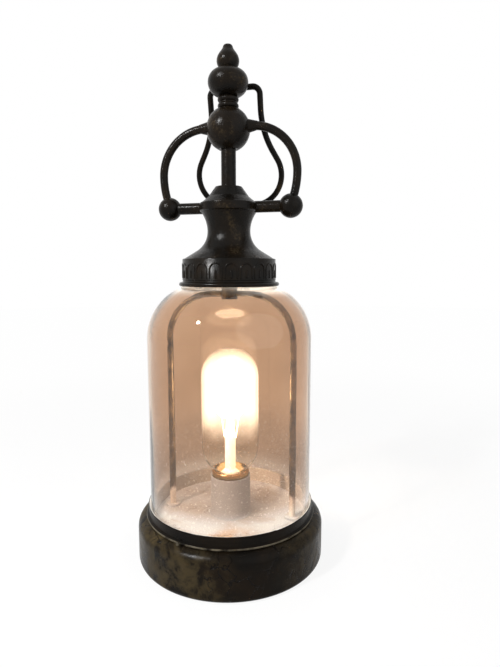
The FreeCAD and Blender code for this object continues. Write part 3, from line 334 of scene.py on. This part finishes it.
rust_spot = (0.012, -0.055, 0.031)
pan_white, tree, shader, place = start_material("pan white")
coat = use_group(tree, stained_paint, Place=place, Amount=0.7, Scale=34.0, Paint=(0.53, 0.56, 0.60, 1),
                 Stain=(0.36, 0.27, 0.19, 1))
# paint that ran and dried leaves thin dark rings, and rust shows through at the front
pools = use_group(tree, crackle, Place=place, Scale=30.0, Width=0.022, Where=0.62)
rust = math_node(tree, "MULTIPLY", place_mask(tree, place, rust_spot, 0.008, 0.03),
                 ramp_between(tree, noise(tree, place, 80.0, 4.0, 0.65), 0.4, 0.62))
colour = blend_colours(tree, math_node(tree, "MULTIPLY", rust, 0.8), coat["Colour"], (0.50, 0.27, 0.11, 1))
colour = blend_colours(tree, math_node(tree, "MULTIPLY", pools["Line"], 0.6), colour, (0.16, 0.13, 0.11, 1))
link(tree, colour, shader.inputs["Base Color"])
link(tree, coat["Roughness"], shader.inputs["Roughness"])
raise_surface(tree, shader, math_node(tree, "MULTIPLY_ADD", pools["Line"], 0.6, coat["Height"]), 0.0005)
sleeve_white = paint_finish("sleeve white", 0.15, 60.0, (0.50, 0.54, 0.60, 1))
dress(pan_white, "pan_plate", "foot_collars")
dress(sleeve_white, "candle_sleeve")

# ---------------------------------------------------------------- metal fittings
# Zinc-plated steel inside the drum and under the crown, and pressed brass round the bulb's cap.
mottled_metal, given, out = start_group(
    "mottled metal",
    (("Place", "vector", None), ("Metal", "colour", (0.5, 0.5, 0.48, 1)),
     ("Tarnish", "colour", (0.2, 0.19, 0.18, 1)), ("Amount", "number", 0.3), ("Scale", "number", 120.0)),
    (("Colour", "colour"), ("Roughness", "number"), ("Height", "number")))
tree = mottled_metal
blotch = noise(tree, given["Place"], given["Scale"], 4.0, 0.6, 0.3)
scratch = noise(tree, stretch(tree, given["Place"], 1, 1, 14), 180.0, 2.0, 0.5)
edge = math_node(tree, "MULTIPLY_ADD", given["Amount"], -0.5, 0.75)
mask = ramp_between(tree, blotch, edge, math_node(tree, "ADD", edge, 0.3))
link(tree, blend_colours(tree, mask, given["Metal"], given["Tarnish"]), out["Colour"])
link(tree, math_node(tree, "MULTIPLY_ADD", mask, 0.25, math_node(tree, "MULTIPLY_ADD", scratch, 0.2, 0.12)),
     out["Roughness"])
link(tree, math_node(tree, "MULTIPLY_ADD", scratch, 0.4, blotch), out["Height"])


def metal_finish(name, metal, tarnish, amount, scale=120.0, depth=0.0001):
    material, tree, shader, place = start_material(name)
    coat = use_group(tree, mottled_metal, Place=place, Metal=metal, Tarnish=tarnish, Amount=amount,
                     Scale=scale)
    link(tree, coat["Colour"], shader.inputs["Base Color"])
    link(tree, coat["Roughness"], shader.inputs["Roughness"])
    shader.inputs["Metallic"].default_value = 1.0
    raise_surface(tree, shader, coat["Height"], depth)
    return material


zinc = metal_finish("zinc plate", (0.52, 0.52, 0.5, 1), (0.28, 0.27, 0.24, 1), 0.4)
brass = metal_finish("pressed brass", (0.80, 0.58, 0.30, 1), (0.42, 0.25, 0.10, 1), 0.25, 160.0)
dress(zinc, "bottom_cover", "cover_brackets", "cover_screws", "hoop_washers", "hoop_nuts", "nipple_nut",
      "stud", "tie_rod")
dress(brass, "nipple", "lampholder_shell", "contact_tongue", "bulb_cap", "bulb_contact")


# ---------------------------------------------------------------- felt, rubber, plastic, porcelain
# The felt disc is dark green baize; the grommet and the neck gasket are moulded rubber; the terminal
# block and the leads are cream plastic; the lampholder's base is glazed porcelain.
def plain_finish(name, light, dark, scale, rough, depth, detail=3.0, sheen=0.0):
    material, tree, shader, place = start_material(name)
    cloud = noise(tree, place, scale, detail, 0.65)
    link(tree, blend_colours(tree, ramp_between(tree, cloud, 0.3, 0.7), dark, light),
         shader.inputs["Base Color"])
    link(tree, math_node(tree, "MULTIPLY_ADD", cloud, 0.2, rough - 0.1), shader.inputs["Roughness"])
    shader.inputs["Sheen Weight"].default_value = sheen
    raise_surface(tree, shader, cloud, depth)
    return material


felt = plain_finish("green felt", (0.035, 0.075, 0.045, 1), (0.012, 0.03, 0.018, 1), 1400.0, 0.95, 0.0006,
                    sheen=0.4)
rubber = plain_finish("black rubber", (0.03, 0.03, 0.03, 1), (0.012, 0.012, 0.012, 1), 500.0, 0.6, 0.0001)
plastic = plain_finish("cream plastic", (0.74, 0.71, 0.64, 1), (0.62, 0.58, 0.5, 1), 300.0, 0.45, 0.00005)
porcelain = plain_finish("glazed porcelain", (0.82, 0.80, 0.76, 1), (0.72, 0.69, 0.64, 1), 90.0, 0.2, 0.00005)
vitrite = plain_finish("black vitrite", (0.02, 0.02, 0.025, 1), (0.008, 0.008, 0.01, 1), 200.0, 0.2, 0.00003)
dress(felt, "felt_pad")
dress(rubber, "cord_grommet", "neck_gasket")
dress(plastic, "terminal_block", "supply_leads")
dress(porcelain, "lampholder_base")
dress(vitrite, "bulb_insulator")

# ---------------------------------------------------------------- hoop
# Steel rod bent to an arch and bronzed, with white overspray on its feet. Its bronze is painted lighter than
# the rest, standing in for the bulb's light on it. The boss for the crown's stud is welded to its top.
overspray_top, overspray_full = 40.0 * mm, 34.0 * mm
hoop_bronze_painted_lit, tree, shader, place = start_material("hoop bronze painted lit")
# painted light: lacquer and under-colour are lighter than the other bronze, for the bulb's light on the hoop
coat = use_group(tree, rubbed_lacquer, Place=place, Rub=0.3, Patch=60.0, Grain=520.0,
                 Lacquer=(0.30, 0.22, 0.13, 1), Under=(0.62, 0.47, 0.27, 1))
ragged = math_node(tree, "MULTIPLY_ADD", noise(tree, place, 150.0), -20.0 * mm, height_of(tree, place))
feet = ramp_between(tree, ragged, overspray_top, overspray_full)
link(tree, blend_colours(tree, feet, coat["Colour"], (0.68, 0.62, 0.56, 1)), shader.inputs["Base Color"])
link(tree, math_node(tree, "ADD", math_node(tree, "MULTIPLY_ADD", feet, 0.2, coat["Roughness"]), 0.12),
     shader.inputs["Roughness"])
link(tree, ramp_between(tree, feet, 1.0, -0.4, smooth=False), shader.inputs["Metallic"])
raise_surface(tree, shader, coat["Height"], 0.0003)
dress(hoop_bronze_painted_lit, "hoop", "stud_boss")


# ---------------------------------------------------------------- jar
# The jar is blown glass, open at its foot and its neck, standing inside the rim ring with dust on its lower
# part.
# Its warm brown is partly its own tint, partly a painted view of a brown room; neck and dust get a painted
# glow.
darker_top, darker_full = 118.0 * mm, 75.0 * mm
neck_start, neck_full = 204.0 * mm, 211.0 * mm
foot_clear, foot_full = 62.0 * mm, 46.0 * mm
dust_top, dust_full = 150.0 * mm, 80.0 * mm


def let_lamps_through(tree, shader, tint):
    """Light from the lamps passes the glass, tinted, instead of being stopped by it."""
    path = tree.nodes.new("ShaderNodeLightPath")
    clear = tree.nodes.new("ShaderNodeBsdfTransparent")
    clear.inputs["Color"].default_value = tint
    switch = tree.nodes.new("ShaderNodeMixShader")
    link(tree, path.outputs["Is Shadow Ray"], switch.inputs[0])
    link(tree, shader.outputs[0], switch.inputs[1])
    link(tree, clear.outputs[0], switch.inputs[2])
    link(tree, switch.outputs[0], tree.nodes["Material Output"].inputs["Surface"])


jar_glass, tree, shader, place = start_material("jar glass")
shader.inputs["Transmission Weight"].default_value = 1.0
shader.inputs["Roughness"].default_value = 0.0
shader.inputs["IOR"].default_value = 1.45
haze = noise(tree, place, 14.0, 2.0, 0.5)
# the warm brown is partly a painted view of a brown room seen through the glass, not only the glass's own
# tint
tint = blend_colours(tree, ramp_between(tree, haze, 0.35, 0.7), (0.745, 0.56, 0.415, 1),
                     (0.655, 0.48, 0.345, 1))
# darker low down, nearly clear under the crown and at the foot
level = height_of(tree, place)
for start, full, colour in ((darker_top, darker_full, (0.545, 0.415, 0.32, 1)),
                            (neck_start, neck_full, (0.93, 0.88, 0.82, 1)),
                            (foot_clear, foot_full, (0.80, 0.735, 0.67, 1))):
    tint = blend_colours(tree, ramp_between(tree, level, start, full), tint, colour)
dust = ramp_between(tree, noise(tree, place, 620.0, 1.0, 0.4), 0.66, 0.72)
dusty = math_node(tree, "MULTIPLY", dust, ramp_between(tree, level, dust_top, dust_full))
tint = blend_colours(tree, math_node(tree, "MULTIPLY", dusty, 0.25), tint, (0.95, 0.9, 0.84, 1))
link(tree, tint, shader.inputs["Base Color"])
# painted glow: the neck band and the dust specks emit warm light standing in for the bulb's light caught in
# the glass
painted_glow = math_node(tree, "MULTIPLY", ramp_between(tree, level, neck_start - 1 * mm, neck_full + 2 * mm),
                   ramp_between(tree, haze, 0.3, 0.6))
painted_glow = math_node(tree, "MAXIMUM", painted_glow, math_node(tree, "MULTIPLY", dusty, 0.22))
link(tree, blend_colours(tree, painted_glow, (0, 0, 0, 1), (1, 0.93, 0.83, 1)), shader.inputs["Emission Color"])
shader.inputs["Emission Strength"].default_value = 0.36
wave = noise(tree, stretch(tree, place, 1, 1, 0.4), 22.0, 1.0, 0.4)
raise_surface(tree, shader, wave, 1.1 * mm)
let_lamps_through(tree, shader, (0.97, 0.94, 0.9, 1))
dress(jar_glass, "glass_jar")

# ---------------------------------------------------------------- bulb
# A tubular screw-cap bulb of clear glass, lit. A painted white glow on the glass, but for its lowest part and
# its edge, stands in for its light's haze; the glass mount and the filament's supports get a painted glow,
# the filament glows.
glow_low_start, glow_low_full = 98.0 * mm, 122.0 * mm
glow_top_end, glow_top_full = 172.0 * mm, 142.0 * mm
bulb_clear, tree, shader, place = start_material("bulb glass lit")
shader.inputs["Transmission Weight"].default_value = 1.0
shader.inputs["Roughness"].default_value = 0.0
shader.inputs["IOR"].default_value = 1.2
shader.inputs["Base Color"].default_value = (1, 0.99, 0.96, 1)
level = height_of(tree, place)
uneven = math_node(tree, "MULTIPLY_ADD", noise(tree, place, 60.0, 2.0), 12.0 * mm, level)
low = ramp_between(tree, uneven, glow_low_start, glow_low_full)
top = ramp_between(tree, level, glow_top_end, glow_top_full)
facing = tree.nodes.new("ShaderNodeLayerWeight")
facing.inputs["Blend"].default_value = 0.5
core = ramp_between(tree, facing.outputs["Facing"], 0.9, 0.25)
# painted glow on the clear glass, standing in for the haze of the filament's light
glow = math_node(tree, "MULTIPLY", math_node(tree, "MULTIPLY", low, top), core)
link(tree, blend_colours(tree, glow, (0, 0, 0, 1), (1.0, 0.96, 0.88, 1)), shader.inputs["Emission Color"])
shader.inputs["Emission Strength"].default_value = 0.85
let_lamps_through(tree, shader, (1, 1, 1, 1))
dress(bulb_clear, "bulb_glass")


def glowing_finish(name, colour, strength, scale=200.0):
    material, tree, shader, place = start_material(name)
    shimmer = noise(tree, place, scale, 2.0, 0.5)
    dimmer = (colour[0], colour[1] * 0.92, colour[2] * 0.8, 1)
    link(tree, blend_colours(tree, shimmer, colour, dimmer), shader.inputs["Emission Color"])
    link(tree, blend_colours(tree, shimmer, (0.9, 0.88, 0.82, 1), (0.8, 0.75, 0.65, 1)),
         shader.inputs["Base Color"])
    shader.inputs["Emission Strength"].default_value = strength
    return material


# painted glow: the glass mount and the filament's supports emit though they are no light source; only the
# filament truly glows
stem_painted_glow = glowing_finish("stem painted glow", (1.0, 0.96, 0.88, 1), 1.6)
filament_and_painted_glow = glowing_finish("filament", (1.0, 0.86, 0.62, 1), 12.0)
dress(stem_painted_glow, "bulb_stem")
dress(filament_and_painted_glow, "filament", "filament_supports")

# ---------------------------------------------------------------- cap band
# A rolled brass strip with a beaded lip that hangs over the jar's neck. A row of small arches, each
# with a drop in it and a sill under it, is pressed into it from behind, between plain edges.
band_face = 35.1
band_outline = [(33.9, 212.6), (34.5, 211.75), (35.6, 211.15), (36.3, 210.97), (37.0, 211.12), (37.6, 211.6),
                (37.9, 212.3), (37.85, 213.0), (37.4, 213.7), (36.7, 214.1), (36.2, 214.15), (35.25, 214.45),
                (band_face, 214.8), (band_face, 231.0), (34.75, 231.35), (33.9, 231.35)]
arch_count = 20
arch_foot, arch_spring, arch_rise = 216.6, 223.2, 4.6
half_arch = math.pi * band_face / arch_count * 0.80
half_sill = half_arch * 1.25
sill_level = arch_foot - 0.6
rib_sunk = 0.05


def clear_choice():
    if bpy.context.object and bpy.context.object.mode != "OBJECT":
        bpy.ops.object.mode_set(mode="OBJECT")
    bpy.ops.object.select_all(action="DESELECT")


def draw_line(name, points):
    """A chain of edges through (across, height) points in millimetres, left open in edit mode."""
    clear_choice()
    bpy.ops.mesh.primitive_circle_add(vertices=3, radius=0.1 * mm)
    piece = bpy.context.object
    piece.name = name
    bpy.ops.object.mode_set(mode="EDIT")
    bpy.ops.mesh.select_all(action="SELECT")
    bpy.ops.mesh.merge(type="CENTER")
    bpy.ops.transform.translate(value=(points[0][0] * mm, 0, points[0][1] * mm))
    for (x, z), (next_x, next_z) in zip(points, points[1:]):
        step = ((next_x - x) * mm, 0, (next_z - z) * mm)
        bpy.ops.mesh.extrude_vertices_move(TRANSFORM_OT_translate={"value": step})
    return piece


def turn_piece(name, outline, steps=128):
    """Turn an outline of (radius, height) in millimetres about the lamp's axis, as on a lathe."""
    piece = draw_line(name, outline)
    bpy.ops.mesh.select_all(action="SELECT")
    bpy.ops.mesh.spin(steps=steps, angle=2 * math.pi, center=(0, 0, 0), axis=(0, 0, 1))
    bpy.ops.mesh.select_all(action="SELECT")
    bpy.ops.mesh.remove_doubles(threshold=2e-6)
    bpy.ops.mesh.normals_make_consistent(inside=False)
    bpy.ops.object.mode_set(mode="OBJECT")
    return piece


def smooth_off(piece, angle=35):
    clear_choice()
    piece.select_set(True)
    bpy.context.view_layer.objects.active = piece
    bpy.ops.object.shade_smooth_by_angle(angle=math.radians(angle))


def rib(name, points, depth, half_width):
    """A rib along (across, height) points on the band's face, rounded in section; all in millimetres."""
    piece = draw_line(name, points)
    bpy.ops.object.mode_set(mode="OBJECT")
    piece.modifiers.new("round", "SKIN")
    for point in piece.data.skin_vertices[0].data:
        point.radius = (half_width * mm, half_width * mm)
    bpy.ops.object.modifier_apply(modifier="round")
    soft = piece.modifiers.new("soft", "SUBSURF")
    soft.levels = soft.render_levels = 1
    bpy.ops.object.modifier_apply(modifier="soft")
    # flattened against the band's face and wrapped round it
    for vertex in piece.data.vertices:
        across, lift, up = vertex.co
        reach = (band_face - rib_sunk) * mm - lift * depth / half_width
        turn = across / (band_face * mm)
        vertex.co = (reach * math.sin(turn), -reach * math.cos(turn), up)
    return piece


cap_band = turn_piece("cap_band_pressed", band_outline + band_outline[:1], 160)
bow = [(half_arch * math.cos(math.radians(a)), arch_spring + arch_rise * math.sin(math.radians(a)))
       for a in range(0, 181, 20)]
arch = rib("arch", [(half_arch, arch_foot)] + bow + [(-half_arch, arch_foot)], 0.55, 0.75)
drop = rib("drop", [(0, arch_foot + 0.4), (0, arch_foot + 3.2), (0, arch_spring)], 0.6, 1.0)
sill = rib("sill", [(-half_sill, sill_level), (0, sill_level), (half_sill, sill_level)], 0.4, 0.5)
clear_choice()
for piece in (drop, sill, arch):
    piece.select_set(True)
bpy.context.view_layer.objects.active = arch
bpy.ops.object.join()
relief = [arch]
for index in range(1, arch_count):
    twin = arch.copy()
    twin.data = arch.data.copy()
    bpy.context.scene.collection.objects.link(twin)
    twin.rotation_euler = (0, 0, index * 2 * math.pi / arch_count)
    relief.append(twin)
clear_choice()
for piece in relief + [cap_band]:
    piece.select_set(True)
bpy.context.view_layer.objects.active = cap_band
bpy.ops.object.join()
bpy.ops.object.transform_apply(location=True, rotation=True, scale=True)
smooth_off(cap_band, 50)
band_bronze = bronze_finish("band bronze", 0.2, 80.0, 500.0, 0.0004, (0.10, 0.075, 0.045, 1))
cap_band.data.materials.append(band_bronze)
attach(cap_band, "crown")
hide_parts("cap_band")

# ---------------------------------------------------------------- solder drop
# A drop of solder has set hard on the rim ring's bead, at the front left, where the ring was joined to
# the drum. It is lacquered over with the ring.
drop_radius = 1.5
drop_across, drop_forward, drop_level = -20.4, -62.9, 34.4
clear_choice()
bpy.ops.mesh.primitive_uv_sphere_add(segments=24, ring_count=12, radius=drop_radius * mm)
solder_drop = bpy.context.object
solder_drop.name = "solder_drop"
bpy.ops.object.mode_set(mode="EDIT")
bpy.ops.mesh.select_all(action="SELECT")
bpy.ops.transform.resize(value=(1.0, 0.8, 1.35))
bpy.ops.transform.translate(value=(drop_across * mm, drop_forward * mm, drop_level * mm))
bpy.ops.object.mode_set(mode="OBJECT")
smooth_off(solder_drop, 60)
solder_drop.data.materials.append(rim_bronze)
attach(solder_drop, "base")

# ---------------------------------------------------------------- hub plate
# The plate that closes the bell from below, with the nut thread for the hoop's stud. Its light cream is
# painted light for the bulb's light on it, and it shows only from below or through the jar's neck.
# painted light: a cream colour that stands in for the bulb's light on the plate
hub_painted_light = paint_finish("hub painted light", 0.3, 60.0, (0.74, 0.68, 0.58, 1))
dress(hub_painted_light, "hub_plate")

# ---------------------------------------------------------------- crown
# Turned and spun brass pieces, bars, scroll arms and the wire loop, all lacquered nearly black, with
# brown showing where the lacquer has worn thin.
crown_bronze = bronze_finish("crown bronze", 0.46, 48.0, 500.0, 0.8 * mm, (0.040, 0.029, 0.016, 1))
dress(crown_bronze, "cap_bell", "collar", "left_bar", "right_bar", "left_arm_ball",
      "right_arm_ball", "left_scroll", "right_scroll", "centre_tube", "large_ball", "spacer_ring",
      "upper_ball", "loop_lug", "hanging_loop")

# ---------------------------------------------------------------- finial
# A solid bud, turned from brass rod: it swells from its foot, draws in to a blunt tip, and screws into
# the upper ball.
bud_outline = [(0, 366.0), (5.7, 366.0), (5.9, 367.0), (6.9, 368.6), (7.85, 370.5), (8.25, 372.4),
               (8.15, 374.2), (7.5, 376.2), (6.4, 378.0), (5.2, 379.6), (4.25, 380.9), (3.75, 382.0),
               (3.45, 383.0), (2.9, 383.7), (1.9, 384.1), (0.9, 384.24), (0, 384.255)]
finial = turn_piece("finial_bud", bud_outline, 64)
smooth_off(finial, 60)
finial.data.materials.append(crown_bronze)
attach(finial, "crown")
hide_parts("finial")

# ---------------------------------------------------------------- studio
# A plain pale floor and a soft white room. To the camera, in reflections and through glass the world
# shows as white, and so does most of the floor, which keeps the lamp's shadow.
floor_reach = 3.0
shadow_near, shadow_far = 0.15, 0.9
white_near, white_gain = 0.89, 0.1
room_light = 0.4
clear_choice()
bpy.ops.mesh.primitive_circle_add(vertices=96, radius=floor_reach, fill_type="NGON", location=(0, 0, 0))
floor = bpy.context.object
floor.name = "floor"
floor_white, tree, shader, place = start_material("floor white")
paper = noise(tree, place, 6.0, 2.0, 0.5)
link(tree, blend_colours(tree, paper, (0.9, 0.9, 0.9, 1), (0.94, 0.94, 0.94, 1)),
     shader.inputs["Base Color"])
shader.inputs["Roughness"].default_value = 0.9
shader.inputs["Specular IOR Level"].default_value = 0.1


def seen_mask(tree):
    """1 for what the camera sees, straight, in a reflection or through glass."""
    path = tree.nodes.new("ShaderNodeLightPath")
    bounced = math_node(tree, "MAXIMUM", path.outputs["Is Glossy Ray"], path.outputs["Is Transmission Ray"])
    return math_node(tree, "MAXIMUM", path.outputs["Is Camera Ray"], bounced)


seen = seen_mask(tree)
shine = tree.nodes.new("ShaderNodeEmission")
shine.inputs["Strength"].default_value = 1.0
blend = tree.nodes.new("ShaderNodeMixShader")
# the shadow stays near the lamp, and the floor runs out into white
far = ramp_between(tree, reach_of(tree, place), shadow_near, shadow_far)
share = math_node(tree, "MULTIPLY_ADD", far, white_gain, white_near)
link(tree, math_node(tree, "MULTIPLY", seen, share), blend.inputs[0])
link(tree, shader.outputs[0], blend.inputs[1])
link(tree, shine.outputs[0], blend.inputs[2])
link(tree, blend.outputs[0], tree.nodes["Material Output"].inputs["Surface"])
floor.data.materials.append(floor_white)

world = bpy.data.worlds.new("white room")
bpy.context.scene.world = world
world.use_nodes = True
tree = world.node_tree
back = tree.nodes["Background"]
back.inputs["Color"].default_value = (1, 1, 1, 1)
light = math_node(tree, "MULTIPLY_ADD", seen_mask(tree), 1.0 - room_light, room_light)
link(tree, light, back.inputs["Strength"])


def soft_lamp(name, place, target, size, power):
    """A round lamp of that size in metres and power in watts, turned towards its target."""
    lamp = bpy.data.lights.new(name, "AREA")
    lamp.shape = "DISK"
    lamp.size = size
    lamp.energy = power
    holder = bpy.data.objects.new(name, lamp)
    bpy.context.scene.collection.objects.link(holder)
    holder.location = place
    holder.rotation_euler = (Vector(target) - Vector(place)).to_track_quat("-Z", "Y").to_euler()
    return holder


soft_lamp("key", (-0.42, -0.62, 0.72), (0, 0, 0.12), 0.07, 9.0)
soft_lamp("fill", (0.9, -0.5, 0.6), (0, 0, 0.2), 1.4, 3.0)
# the bulb's own light, from the middle of its envelope
bulb_middle = 122.0 * mm
bulb_light = bpy.data.lights.new("bulb light", "POINT")
bulb_light.energy = 0.17
bulb_light.shadow_soft_size = 18.0 * mm
bulb_light.color = (1.0, 0.98, 0.95)
holder = bpy.data.objects.new("bulb light", bulb_light)
bpy.context.scene.collection.objects.link(holder)
holder.location = (0, 0, bulb_middle)

# ---------------------------------------------------------------- camera
# Held by hand about 0.4 m away at the height of the jar's top, looking a little down. The eye, the aim
# and the lens come from a pinhole camera fitted to the drum, the rim and the jar.
roll = -0.07
eye = Vector((0.1051, -0.3712, 0.2220))
ahead = Vector((-0.2313, 0.9653, -0.1222)).normalized()
lens = bpy.data.cameras.new("camera")
lens.lens = 27.2
lens.sensor_width = 36.0
lens.clip_start = 0.01
camera = bpy.data.objects.new("camera", lens)
bpy.context.scene.collection.objects.link(camera)
camera.location = eye
camera.rotation_euler = ahead.to_track_quat("-Z", "Y").to_euler()
camera.rotation_euler.rotate_axis("Z", math.radians(roll))
bpy.context.scene.camera = camera
bpy.context.scene.view_settings.view_transform = "Standard"
